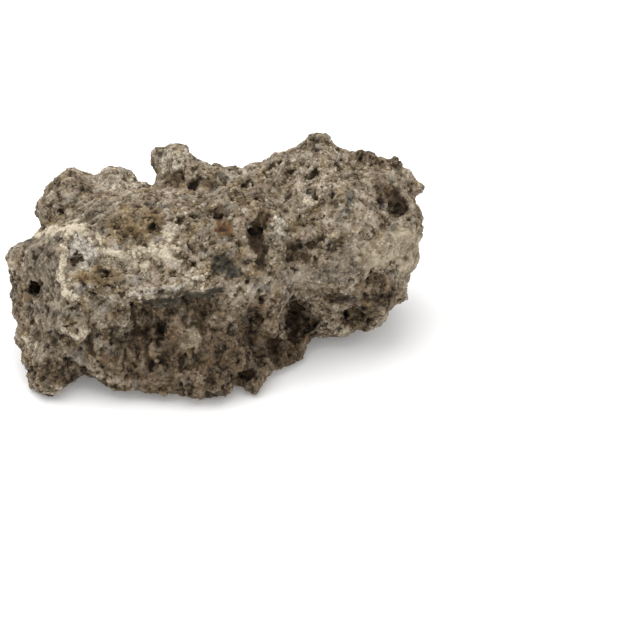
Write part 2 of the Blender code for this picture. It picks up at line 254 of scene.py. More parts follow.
PATCHES: tuple[Patch, ...] = (
    # the pale crest, the knobs of the rear rim and the crown
    Patch(CREAM, -42, 9.5, 4, 2.0, -25, 0.7),
    Patch(CREAM, -25, 3.0, 5, 4.0, -20, 0.9),
    Patch(CREAM, -17, 4.5, 6, 4.0, 0, 0.6),
    Patch(CREAM, -7.4, -3.4, 2.6, 3.0, 0, 0.5),
    Patch(CREAM, -16, 12.0, 3.5, 3.0, 0, 0.5),
    Patch(CREAM, -30, 28.5, 6, 4, 0, 0.3),
    Patch(ASH, -34, 29.5, 7, 5, 0, 0.25),
    Patch(CLAY, -51, 22.5, 8, 6, 0, 0.3),
    Patch(CREAM, -14, 36, 5, 3.6, 0, 0.4),
    Patch(ASH, -15, 36.5, 6, 4.5, 0, 0.4),
    Patch(CREAM, 33, 33, 12, 7, 0, 0.22),
    Patch(CREAM, 32, 22, 2.4, 1.8, 0, 0.6),
    # the grey hollow in the crest and the brown patches beside it
    Patch(ASH, -44.5, 6, 5.5, 6.0, 0, 0.9),
    Patch(CREAM, -34, 0.4, 6.5, 2.2, -6, 0.5),
    # painted shade in two dark spots of the grey hollow
    Patch(PAINTED_SHADE, -46.6, 4.6, 0.9, 1.3, 0, 0.8),
    Patch(PAINTED_SHADE, -43.4, 7.8, 0.8, 0.8, 0, 0.7),
    Patch(CLAY, -38.5, 18.5, 6, 4, 0, 0.6),
    Patch(ASH, 21, 13.5, 3.4, 5.0, 0, 0.5),
    Patch(TAN, -39, -3.5, 8, 3.0, 0, 0.85),
    Patch(TAN, -28, 14.5, 11, 6.5, 0, 0.8),
    Patch(UMBER, -22, 12.5, 1.8, 1.4, 0, 0.7),
    Patch(UMBER, -31, 12.0, 2.4, 1.4, 0, 0.5),
    Patch(TAN, 13.5, 20, 4, 5, 0, 0.5),
    # the glassy patches under the saddle
    Patch(GLASS, 3.6, -0.6, 6.0, 2.6, -28, 0.75),
    Patch(GLASS, -3.4, -9.6, 5.0, 1.9, 12),
    Patch(GLASS, -14, -12.0, 8.0, 1.4, 8, 0.9),
    # the rust spots, and the brown hollows near them, whose umber is partly their own brown and
    # partly painted shade
    Patch(RUST, 2.4, 12.6, 3.4, 2.8),
    Patch(UMBER, 1.6, 18.3, 3.0, 2.4, 0, 0.9),
    Patch(RUST, -12.6, -23.4, 4.2, 3.4, 0, 0.5),
    Patch(SAND, -10.0, -23.8, 5.2, 4.0, 0, 0.75),
    Patch(SAND, -12.8, -22.5, 4.2, 3.0, 0, 0.35),
    Patch(TAN, -11.5, -22.5, 5.0, 3.6, 0, 0.85),
    Patch(UMBER, -13.8, 30, 3.6, 3.4, 0, 0.9),
    Patch(UMBER, 13, 25, 2.6, 3, 0, 0.5),
    # the gulley between the masses, darkened by painted shade
    Patch(PAINTED_SHADE, 13.4, 10, 2.8, 5.6, 0, 1.0),
    Patch(PAINTED_SHADE, 15.2, 2.4, 2.0, 4.6, -15, 0.85),
    Patch(UMBER, 16.2, 17, 2.6, 3.8, -25, 0.9),
    # the dark pits right of it, darkened by painted shade
    Patch(UMBER, 26.2, 6.2, 2.6, 2.2, 20, 0.7),
    Patch(UMBER, 29.6, 2.6, 3.0, 2.4, -20, 0.7),
    Patch(UMBER, 31.4, 7.0, 2.2, 1.8, 0, 0.6),
    Patch(UMBER, 24.4, 2.2, 1.8, 2.0, 0, 0.6),
    Patch(PAINTED_SHADE, 25.6, 5.8, 1.5, 1.2, 0, 0.9),
    Patch(PAINTED_SHADE, 29.8, 3.0, 1.9, 1.7, 0, 0.9),
    Patch(PAINTED_SHADE, 28.4, 8.2, 1.3, 1.0, 0, 0.9),
    Patch(PAINTED_SHADE, 31.8, 6.6, 1.3, 1.1, 0, 0.9),
    Patch(PAINTED_SHADE, 25.0, 1.6, 1.2, 1.2, 0, 0.8),
    # the lower gulley and the foot of the front: painted shade in the gulley and its clefts, and
    # umber that is partly the foot's own brown and partly painted shade
    Patch(PAINTED_SHADE, 26.6, -18.5, 2.8, 8.0, 0, 1.0),
    Patch(UMBER, 31, -21, 2.6, 7.0, 0, 0.9),
    Patch(PAINTED_SHADE, 20, -27.5, 2.2, 5.6, 8, 0.7),
    Patch(PAINTED_SHADE, 25.6, -28, 3.0, 5.0, 0, 0.5),
    Patch(PAINTED_SHADE, 23.5, -30.5, 5.5, 5.0, 0, 0.6),
    Patch(UMBER, 27, -29, 6.0, 6.0, 0, 0.9),
    Patch(UMBER, -4, -41, 30, 5, 0, 0.8),
    Patch(PAINTED_SHADE, 10.8, -36.6, 3.2, 2.0),
    # the hollow by the right rim, and the holes of the broken end, darkened by painted shade
    Patch(PAINTED_SHADE, 61.2, 21.5, 3.0, 4.4, 25, 0.8),
    Patch(UMBER, 57, 25, 4.5, 4.5, 25, 0.8),
    Patch(PAINTED_SHADE, -60.2, -7.2, 1.7, 2.7),
    Patch(UMBER, -59.4, -23.3, 2.4, 2.4, 0, 0.9),
    # the smooth band that falls from the right edge
    Patch(SAND, 64.5, 6, 6.0, 9, 10),
    Patch(SAND, 55, 4.5, 8, 5.2, 30),
    Patch(CLAY, 43, 0.0, 9, 4.4, 28, 0.85),
    Patch(CLAY, 31, -2.6, 8, 3.4, 12, 0.6),
    # the broken end
    Patch(CLAY, -59, 0, 6.5, 9, 0, 0.9),
    Patch(CLAY, -56, -12, 5.5, 9, 0, 0.7),
    Patch(CLAY, -58, -26, 6, 8, 0, 0.4),
    # the dark front under the ledge, the left foot and the right lobe: painted shade under the
    # ledge and in the small dark patches, and umber that is partly their own dark brown and partly
    # painted shade on faces turned from the light
    Patch(PAINTED_SHADE, -24.0, -14, 5, 2.0, 0, 0.5),
    Patch(UMBER, -24.5, -18.5, 6.6, 5.4, 10, 0.7),
    Patch(UMBER, -10, -15, 12, 3.6, 10, 0.9),
    Patch(UMBER, -8, -31, 32, 12, 0, 0.9),
    Patch(UMBER, 15, -24, 7, 14, 0, 0.8),
    Patch(UMBER, 1, -16.5, 8, 5, 0, 0.6),
    Patch(UMBER, 19.5, -14, 5, 7, 0, 0.6),
    Patch(UMBER, -44, -28, 14, 8, 0, 0.35),
    Patch(UMBER, -65, -13, 3.6, 12, 0, 0.6),
    Patch(UMBER, 54, -9, 9, 6, 20, 0.75),
    Patch(UMBER, 50, -16, 10, 3.4, 16, 0.9),
    Patch(PAINTED_SHADE, 40.4, -11.4, 4.4, 2.2, 0, 0.8),
    Patch(UMBER, -54, -36, 10, 5, 0, 0.7),
    Patch(PAINTED_SHADE, -64.5, 2, 1.6, 3.4, 0, 0.5),
)

STROKES: tuple[Stroke, ...] = (
    # the pale rim of the crest and of the grey hollow
    Stroke(CREAM, ((-50.6, 8.8), (-51.6, 1.3), (-52.3, -4.7), (-50.9, -8.8), (-47.6, -11.1)),
           1.25, 1.0, 0.9),
    Stroke(CREAM, ((-50.6, 8.8), (-48.6, 13.2), (-42.5, 10.8), (-40.8, 7.1), (-36.8, 4.7),
                   (-30.7, 3.7), (-25.6, 1.3)), 1.3, 1.0, 0.4),
    Stroke(CREAM, ((-60.0, 11.1), (-51.9, 12.1), (-47.6, 14.2)), 1.3, 0.8, 0.5),
    Stroke(CREAM, ((-33.7, -26.6), (-31.0, -21.6), (-29.3, -16.5), (-30.4, -12.5)), 1.0, 0.5, 0.7),
    Stroke(CREAM, ((-10.8, -1.5), (-9.4, -5.4), (-5.4, -6.4), (-3.0, -2.4)), 0.8, 0.7, 0.5),
    Stroke(ASH, ((-29.0, -9.8), (-22.0, -8.2), (-12.0, -6.6), (-6.0, -4.0)), 1.3, 0.5, 0.5),
    Stroke(CREAM, ((-49.5, -22.5), (-45.5, -24.5), (-43.0, -21.5)), 0.8, 0.6, 0.4),
    Stroke(CREAM, ((-65.4, -23.6), (-62.0, -26.6), (-59.0, -27.4)), 0.9, 0.6, 0.4),
    # ribs of the front foot
    Stroke(TAN, ((15.8, -21.0), (16.6, -28.0), (16.4, -35.0)), 1.0, 0.4, 0.7),
    Stroke(TAN, ((6.0, -20.0), (5.0, -28.0), (5.6, -35.0)), 1.1, 0.3, 0.9),
    Stroke(TAN, ((21.4, -8.0), (21.8, -14.0), (21.0, -22.0)), 1.1, 0.3, 0.6),
    Stroke(TAN, ((-17.5, -27.0), (-18.2, -33.0), (-19.6, -37.4)), 1.1, 0.3, 0.8),
    Stroke(TAN, ((-1.0, -24.0), (-1.6, -30.5), (-0.6, -36.4)), 1.1, 0.3, 0.8),
    # dark knobs on the crown's right rim
    Stroke(UMBER, ((44.7, 37.2), (52.0, 36.2), (61.5, 34.0)), 1.5, 0.6, 0.2),
    Stroke(UMBER, ((47.2, 37.4), (48.6, 37.4)), 1.1, 0.8, 1.6),
    Stroke(UMBER, ((52.4, 36.9), (53.4, 36.8)), 1.0, 0.8, 1.5),
    Stroke(UMBER, ((60.0, 34.9), (61.4, 34.5)), 1.2, 0.8, 1.7),
    # the crown's peak and the dark edges of the horn
    Stroke(CLAY, ((32.4, 43.6), (36.6, 43.6)), 1.8, 0.4, 1.0),
    Stroke(UMBER, ((-21.2, 36.6), (-21.4, 33.4)), 0.9, 0.8, 0.3),
    Stroke(UMBER, ((-61.0, 22.0), (-60.4, 19.0)), 0.9, 0.7, 0.2),
    # the glassy seam over the undercut
    Stroke(GLASS, ((-24.0, -12.2), (-14.0, -11.4), (-5.0, -10.0), (1.0, -8.4)), 1.3, 1.0, -0.3),
    # dark clefts, sunk and darkened by painted shade
    Stroke(PAINTED_SHADE, ((-24.7, -24.0), (-22.7, -33.7)), 0.8, 0.8, -0.7),
    Stroke(PAINTED_SHADE, ((-30.5, -27.9), (-31.4, -34.6)), 0.8, 0.8, -0.7),
    Stroke(PAINTED_SHADE, ((2.3, -28.8), (1.3, -36.5)), 0.8, 0.8, -0.7),
    Stroke(PAINTED_SHADE, ((-28.5, -10.8), (-20.0, -11.8)), 0.9, 0.9, -0.8),
    Stroke(PAINTED_SHADE, ((-29.3, -13.2), (-25.6, -21.6), (-22.3, -25.0)), 0.8, 0.8, -0.6),
    Stroke(PAINTED_SHADE, ((-12.2, -30.0), (-12.0, -35.0)), 0.9, 0.9, -0.8),
    Stroke(PAINTED_SHADE, ((-8.0, -27.6), (-7.6, -33.0)), 0.8, 0.7, -0.7),
    Stroke(PAINTED_SHADE, ((10.6, -22.0), (11.4, -28.6), (10.4, -33.0)), 1.0, 0.7, -0.8),
    Stroke(PAINTED_SHADE, ((-42.5, -24.5), (-42.0, -29.5)), 1.1, 0.8, -0.8),
    Stroke(PAINTED_SHADE, ((-20.6, -24.6), (-19.4, -27.0)), 1.1, 0.8, -0.8),
    Stroke(PAINTED_SHADE, ((-47.6, -35.8), (-42.5, -37.1), (-37.4, -40.1)), 0.7, 0.8, -0.4),
    Stroke(PAINTED_SHADE, ((31.7, 6.4), (38.0, 5.6), (45.2, 5.8)), 0.8, 0.7, -0.6),
    Stroke(PAINTED_SHADE, ((-47.4, 1.2), (-44.2, 1.8)), 1.0, 0.8, -0.5),
    Stroke(PAINTED_SHADE, ((-59.3, -6.2), (-59.5, -8.8)), 0.9, 1.0, -2.2),
    Stroke(PAINTED_SHADE, ((-62.6, -0.6), (-62.2, -1.4)), 0.7, 0.9, -0.5),
    Stroke(PAINTED_SHADE, ((-61.4, 4.2), (-61.2, 3.4)), 0.6, 0.9, -0.5),
    Stroke(PAINTED_SHADE, ((-57.6, -12.4), (-57.2, -14.6)), 0.6, 0.8, -0.5),
    Stroke(PAINTED_SHADE, ((-63.4, -13.6), (-63.0, -17.0)), 0.7, 0.8, -0.5),
    Stroke(PAINTED_SHADE, ((-56.2, 4.8), (-56.0, 2.4)), 0.5, 0.7, -0.4),
    Stroke(PAINTED_SHADE, ((4.6, -13.4), (5.8, -17.2)), 0.8, 0.5, -0.6),
    Stroke(PAINTED_SHADE, ((49.0, -14.6), (56.0, -12.6), (60.6, -9.4)), 0.9, 0.6, -0.6),
)


class Signal:
    """A node's output, with the arithmetic that adds Math nodes to its tree."""

    def __init__(self, graph: "Graph", socket: Optional[bpy.types.NodeSocket]) -> None:
        """Wraps a socket.

        Args:
            graph: The graph that the socket's node belongs to.
            socket: The output socket, or None for a node that has no outputs.
        """
        self.graph = graph
        self.socket = socket

    def math(self, operation: str, *others: "Operand",
             first: "Optional[Operand]" = None) -> "Signal":
        """Adds a Math node.

        Args:
            operation: The Math node's operation.
            others: What follows the first value.
            first: What takes this signal's place in front, for the reflected operators.

        Returns:
            The node's result.
        """
        values = (self, *others) if first is None else (first, self)
        return self.graph.node(
            "ShaderNodeMath", {"operation": operation}, dict(enumerate(values)))

    def __add__(self, other: "Operand") -> "Signal":
        """Adds."""
        return self.math("ADD", other)

    def __radd__(self, other: float) -> "Signal":
        """Adds, reflected."""
        return self.math("ADD", other)

    def __sub__(self, other: "Operand") -> "Signal":
        """Subtracts."""
        return self.math("SUBTRACT", other)

    def __rsub__(self, other: float) -> "Signal":
        """Subtracts, reflected."""
        return self.math("SUBTRACT", first=other)

    def __mul__(self, other: "Operand") -> "Signal":
        """Multiplies."""
        return self.math("MULTIPLY", other)

    def __rmul__(self, other: float) -> "Signal":
        """Multiplies, reflected."""
        return self.math("MULTIPLY", other)

    def __rtruediv__(self, other: float) -> "Signal":
        """Divides a number by this."""
        return self.math("DIVIDE", first=other)

    def larger(self, other: "Operand") -> "Signal":
        """Takes the larger of the two."""
        return self.math("MAXIMUM", other)

    def clamped(self) -> "Signal":
        """Keeps the value between 0 and 1."""
        return self.math("MINIMUM", 1.0).math("MAXIMUM", 0.0)

    def eased(self, start: float, end: float) -> "Signal":
        """Rises smoothly from 0 at start to 1 at end, or falls where end is below start."""
        return self.graph.node(
            "ShaderNodeMapRange", {"interpolation_type": "SMOOTHSTEP"},
            {"Value": self, "From Min": start, "From Max": end}, "Result")

    def beside(self, name: str) -> "Signal":
        """Returns another output of the same node."""
        return Signal(self.graph, self.graph.find(self.socket.node.outputs, name))


Operand = Union[Signal, float]


class Graph:
    """A node tree of a material or of Geometry Nodes, while it is built."""

    def __init__(self, tree: bpy.types.NodeTree) -> None:
        """Wraps a tree."""
        self.tree = tree

    @staticmethod
    def find(sockets: Sequence[bpy.types.NodeSocket], key: Union[int, str]) -> bpy.types.NodeSocket:
        """Finds a socket.

        Args:
            sockets: A node's inputs or outputs.
            key: The socket's number, name or identifier.

        Returns:
            The first socket in use that fits.
        """
        if isinstance(key, int):
            return sockets[key]
        return next(s for s in sockets if s.enabled and key in (s.identifier, s.name))

    def node(self, kind: str, settings: Optional[Mapping[str, Any]] = None,
             values: Optional[Mapping[Union[int, str], Any]] = None,
             output: Union[int, str] = 0) -> Signal:
        """Adds a node.

        Args:
            kind: The node's type.
            settings: Its settings, which are set first; "stops" are the stops of a ramp.
            values: A value, or a signal to link, for each socket by name or number.
            output: The output to return.

        Returns:
            The chosen output of the node.
        """
        node = self.tree.nodes.new(kind)
        for name, value in (settings or {}).items():
            if name == "stops":
                self._set_stops(node.color_ramp, value)
            else:
                setattr(node, name, value)
        for key, value in (values or {}).items():
            self.feed(self.find(node.inputs, key), value)
        return Signal(self, self.find(node.outputs, output) if node.outputs else None)

    def feed(self, socket: bpy.types.NodeSocket, value: Any) -> None:
        """Links a signal to a socket, or sets the socket's own value."""
        if isinstance(value, Signal):
            self.tree.links.new(value.socket, socket)
        else:
            socket.default_value = value

    @staticmethod
    def _set_stops(ramp: bpy.types.ColorRamp, stops: Sequence[tuple[float, Colour]]) -> None:
        """Gives a ramp its stops."""
        while len(ramp.elements) < len(stops):
            ramp.elements.new(1.0)
        for element, (position, colour) in zip(ramp.elements, stops):
            element.position, element.color = position, colour

    def mix(self, factor: Operand, under: Any, over: Any, blend: Blend = Blend.COVER) -> Signal:
        """Mixes two colours.

        Args:
            factor: 0 for the first colour, 1 for the second.
            under: The first colour, or its signal.
            over: The second colour, or its signal.
            blend: How the second colour is laid over the first.

        Returns:
            The mixed colour.
        """
        return self.node(
            "ShaderNodeMix",
            {"data_type": "RGBA", "blend_type": blend.value, "clamp_factor": True},
            {"Factor_Float": factor, "A_Color": under, "B_Color": over}, "Result_Color")

    def vector(self, operation: str, *values: Any, scale: Optional[Operand] = None,
               output: Union[int, str] = "Vector") -> Signal:
        """Adds a Vector Math node.

        Args:
            operation: The node's operation.
            values: Its vectors.
            scale: What a SCALE node multiplies the vector by.
            output: The output to return.

        Returns:
            The node's result.
        """
        sockets: dict[Union[int, str], Any] = dict(enumerate(values))
        if scale is not None:
            sockets["Scale"] = scale
        return self.node("ShaderNodeVectorMath", {"operation": operation}, sockets, output)

    def shaken(self, place: Signal, size: Operand, reach: float) -> Signal:
        """Shifts a place by noise, so that a pattern read there loses its even shapes.

        Args:
            place: The place.
            size: The size of the noise's features, in metres.
            reach: The furthest shift, in metres.

        Returns:
            The shifted place.
        """
        shift = self.vector("SUBTRACT", self.noise(place, size, output="Color"), (0.5, 0.5, 0.5))
        return self.vector("ADD", place, self.vector("SCALE", shift, scale=2 * reach))

    def noise(self, place: Signal, size: Operand, detail: float = 2.0, roughness: float = 0.5,
              output: Union[int, str] = 0, shift: Optional[Triple] = None) -> Signal:
        """Adds cloud-like noise.

        Args:
            place: Where it is read.
            size: Its largest feature, in metres, or a signal of it.
            detail: Octaves of finer noise.
            roughness: How strong the finer noise is.
            output: The noise's number, or "Color".
            shift: How far the place is moved first, so that it isn't the noise of another use.

        Returns:
            The noise.
        """
        if shift is not None:
            place = self.vector("ADD", place, shift)
        return self.node(
            "ShaderNodeTexNoise", {"noise_dimensions": "3D"},
            {"Vector": place, "Scale": 1 / size, "Detail": detail, "Roughness": roughness}, output)

    def clumps(self, place: Signal, size: Operand) -> Signal:
        """Adds the noise of the pale and dark clumps, from about -0.4 to 0.4."""
        return self.noise(place, size, 3.0, 0.55, shift=(0.3, 0.3, 0.7)) - 0.5

    def cells(self, place: Signal, size: Operand) -> Signal:
        """Adds cells about that size, in metres, and returns the distance from their middles."""
        return self.node(
            "ShaderNodeTexVoronoi", {"voronoi_dimensions": "3D", "feature": "F1"},
            {"Vector": place, "Scale": 1 / size}, "Distance")

    def split(self, vector: Signal) -> Signal:
        """Returns the first part of a vector or colour, with the others beside it."""
        return self.node("ShaderNodeSeparateXYZ", None, {"Vector": vector}, "X")

    def attribute(self, name: str) -> Signal:
        """Reads one of the mesh's own numbers in a material."""
        return self.node("ShaderNodeAttribute", {"attribute_name": name}, output="Fac")

    def named(self, name: str) -> Signal:
        """Reads one of the mesh's own numbers in Geometry Nodes."""
        return self.node(
            "GeometryNodeInputNamedAttribute", {"data_type": "FLOAT"}, {"Name": name}, "Attribute")


@dataclass(frozen=True)
class Hue:
    """A tint of the body: the noise channel that places it, its colours, edges and strength."""

    channel: str
    dark: str
    light: str
    edges: Span
    strength: float


@dataclass(frozen=True)
class FusedSand:
    """The finish of fused sand: mottled grains, painted shade in pits, pores and hollows, painted
    highlight on raised places, and coloured patches.
    """

    name: str
    lift: float = 0.0
    grain: float = 1.5 * MM
    crumb: float = 1.1 * MM
    blotch: float = 9.0 * MM
    hue: float = 5.0 * MM
    patch_grain: float = 1.8 * MM
    shake_size: float = 1.6 * MM
    shake_reach: float = 0.6 * MM
    bump: float = 0.25 * MM
    roughness: float = 0.9
    glass_sheen: float = 0.4
    specular: float = 0.35
    middle_light: float = 0.48
    grain_contrast: float = 0.28
    crumb_contrast: float = 0.55
    clump_contrast: float = 0.7
    blotch_contrast: float = 0.7
    # painted shade in pits, pores and hollows, and painted highlight on raised places (darker on
    # low ones)
    sunk_shade: float = 0.34
    hollow_shade: float = 0.15
    hollow_depths: Span = (0.4, 2.0)
    proud_highlight: float = 0.3
    cell_edge: float = 0.6
    cell_relief: float = 0.5
    patch_ragged: float = 1.9
    patch_edges: Span = (0.12, 0.88)
    patch_lights: Span = (0.06, 0.90)
    ramp: tuple[tuple[float, str], ...] = (
        (0.0, "1C140B"), (0.22, "433622"), (0.45, "7A6C58"), (0.68, "A29583"), (1.0, "D1C6B3"))
    hues: tuple[Hue, ...] = (
        Hue("X", "38270F", "B39A6E", (0.52, 0.66), 0.6),
        Hue("Y", "2E2B26", "B1ABA0", (0.52, 0.66), 0.6),
        Hue("Z", "3B281C", "B09580", (0.56, 0.70), 0.5))

    def build(self) -> bpy.types.Material:
        """Builds the material."""
        material = bpy.data.materials.new(self.name)
        material.use_nodes = True
        graph = Graph(material.node_tree)
        place = graph.node("ShaderNodeTexCoord", output="Object")
        light, relief = self._mottle(graph, place)
        colour = self._colour(graph, place, light)
        shader = material.node_tree.nodes["Principled BSDF"]
        graph.feed(shader.inputs["Base Color"], colour)
        glass = graph.attribute(GLASS.value)
        graph.feed(shader.inputs["Roughness"], self.roughness - self.glass_sheen * glass)
        shader.inputs["Specular IOR Level"].default_value = self.specular
        bump = graph.node("ShaderNodeBump", None, {"Height": relief, "Distance": self.bump})
        graph.feed(shader.inputs["Normal"], bump)
        return material

    def _mottle(self, graph: Graph, place: Signal) -> tuple[Signal, Signal]:
        """Makes the pattern of pale and dark grains, with painted shade in pits, pores and hollows
        and painted highlight on raised places.

        Args:
            graph: The material's graph.
            place: Object coordinates.

        Returns:
            The lightness from 0 to 1, with its painted shade and highlight, and the height for the
            bump.
        """
        cells = graph.cells(graph.shaken(place, self.shake_size, self.shake_reach), self.grain)
        grain = graph.split(cells.beside("Color"))
        crumb = graph.noise(place, self.crumb, 3.0, 0.6)
        blotch = graph.noise(place, self.blotch, 3.0, 0.6)
        light = (self.lift + self.middle_light + (grain - 0.5) * self.grain_contrast
                 + (crumb - 0.5) * self.crumb_contrast
                 + graph.clumps(place, CLUMP) * self.clump_contrast
                 + (blotch - 0.5) * self.blotch_contrast)
        # painted shade: darker in pits, pores, clefts and hollows; painted highlight: lighter on
        # raised crumbs, clods and ribs
        deep = graph.attribute("hollow").eased(*self.hollow_depths)
        light = (light - graph.attribute("sunk") * self.sunk_shade - deep * self.hollow_shade
                 + graph.attribute("proud") * self.proud_highlight)
        relief = crumb + (self.cell_edge - cells) * self.cell_relief
        return light.clamped(), relief

    def _colour(self, graph: Graph, place: Signal, light: Signal) -> Signal:
        """Colours the lightness by the body's ramp and by the patches.

        Args:
            graph: The material's graph.
            place: Object coordinates.
            light: The lightness from 0 to 1.

        Returns:
            The colour.
        """
        stops = [(position, srgb(code)) for position, code in self.ramp]
        colour = graph.node("ShaderNodeValToRGB", {"stops": stops}, {"Fac": light}, "Color")
        parts = graph.split(graph.noise(place, self.hue, 3.0, 0.6, "Color"))
        for hue in self.hues:
            tint = graph.mix(light, srgb(hue.dark), srgb(hue.light))
            cover = parts.beside(hue.channel).eased(*hue.edges) * hue.strength
            colour = graph.mix(cover, colour, tint)
        ragged = (graph.noise(place, self.patch_grain, 3.0, 0.7) - 0.5) * self.patch_ragged
        bold = light.eased(*self.patch_lights)
        for finish, tone in TONES.items():
            cover = graph.attribute(finish.value)
            edge = cover * (1 - cover) * 4
            cover = (cover + ragged * edge).eased(*self.patch_edges)
            coat = graph.mix(bold, srgb(tone.dark), srgb(tone.light))
            colour = graph.mix(cover, colour, coat, tone.blend)
        return colour


def dressed_copy(obj: bpy.types.Object, name: str) -> bpy.types.Object:
    """Turns an object with live modifiers into a new plain mesh object at the origin.

    Args:
        obj: The object, whose modifiers are evaluated.
        name: The new object's name.

    Returns:
        The new object. The old one is removed.
    """
    graph = bpy.context.evaluated_depsgraph_get()
    mesh = bpy.data.meshes.new_from_object(obj.evaluated_get(graph))
    bpy.data.objects.remove(obj)
    result = bpy.data.objects.new(name, mesh)
    bpy.context.scene.collection.objects.link(result)
    return result


def store_attribute(mesh: bpy.types.Mesh, name: str, values: np.ndarray) -> None:
    """Stores one number for each point of a mesh."""
    mesh.attributes.new(name, "FLOAT", "POINT").data.foreach_set("value", values)


def read_attribute(mesh: bpy.types.Mesh, name: str) -> np.ndarray:
    """Reads one number for each point of a mesh."""
    values = np.empty(len(mesh.vertices))
    mesh.attributes[name].data.foreach_get("value", values)
    return values


def add_nodes(obj: bpy.types.Object, tree: bpy.types.NodeTree, inputs: Mapping[str, Any]) -> None:
    """Adds a Geometry Nodes modifier.

    Args:
        obj: The object.
        tree: The geometry node tree.
        inputs: The values of the tree's inputs by name.
    """
    modifier = obj.modifiers.new(tree.name, "NODES")
    modifier.node_group = tree
    keys = {item.name: item.identifier for item in tree.interface.items_tree
            if getattr(item, "in_out", "") == "INPUT"}
    for name, value in inputs.items():
        modifier[keys[name]] = value


def new_geometry_tree(name: str, inputs: Mapping[str, str]) -> tuple[Graph, Signal]:
    """Starts a Geometry Nodes tree.

    Args:
        name: The tree's name.
        inputs: The socket type of each input by name, after the geometry.

    Returns:
        The graph, and the group input's geometry.
    """
    tree = bpy.data.node_groups.new(name, "GeometryNodeTree")
    tree.interface.new_socket("Geometry", in_out="INPUT", socket_type="NodeSocketGeometry")
    for key, kind in inputs.items():
        tree.interface.new_socket(key, in_out="INPUT", socket_type=kind)
    tree.interface.new_socket("Geometry", in_out="OUTPUT", socket_type="NodeSocketGeometry")
    graph = Graph(tree)
    return graph, graph.node("NodeGroupInput", output="Geometry")


def end_geometry_tree(graph: Graph, geometry: Signal, material: Signal) -> bpy.types.NodeTree:
    """Ends a tree in Realize Instances and Set Material.

    Args:
        graph: The graph.
        geometry: What it has made.
        material: The group input's material.

    Returns:
        The finished tree.
    """
    real = graph.node("GeometryNodeRealizeInstances", None, {"Geometry": geometry})
    done = graph.node("GeometryNodeSetMaterial", None, {"Geometry": real, "Material": material})
    graph.node("NodeGroupOutput", None, {"Geometry": done})
    return graph.tree


# how strong the cloud noise has to be where a finish starts on the sides that aren't pictured
HIDDEN_START: dict[Finish, float] = {
    UMBER: 0.20, TAN: 0.16, CLAY: 0.10, ASH: 0.58,
    CREAM: 0.42, RUST: 0.48}


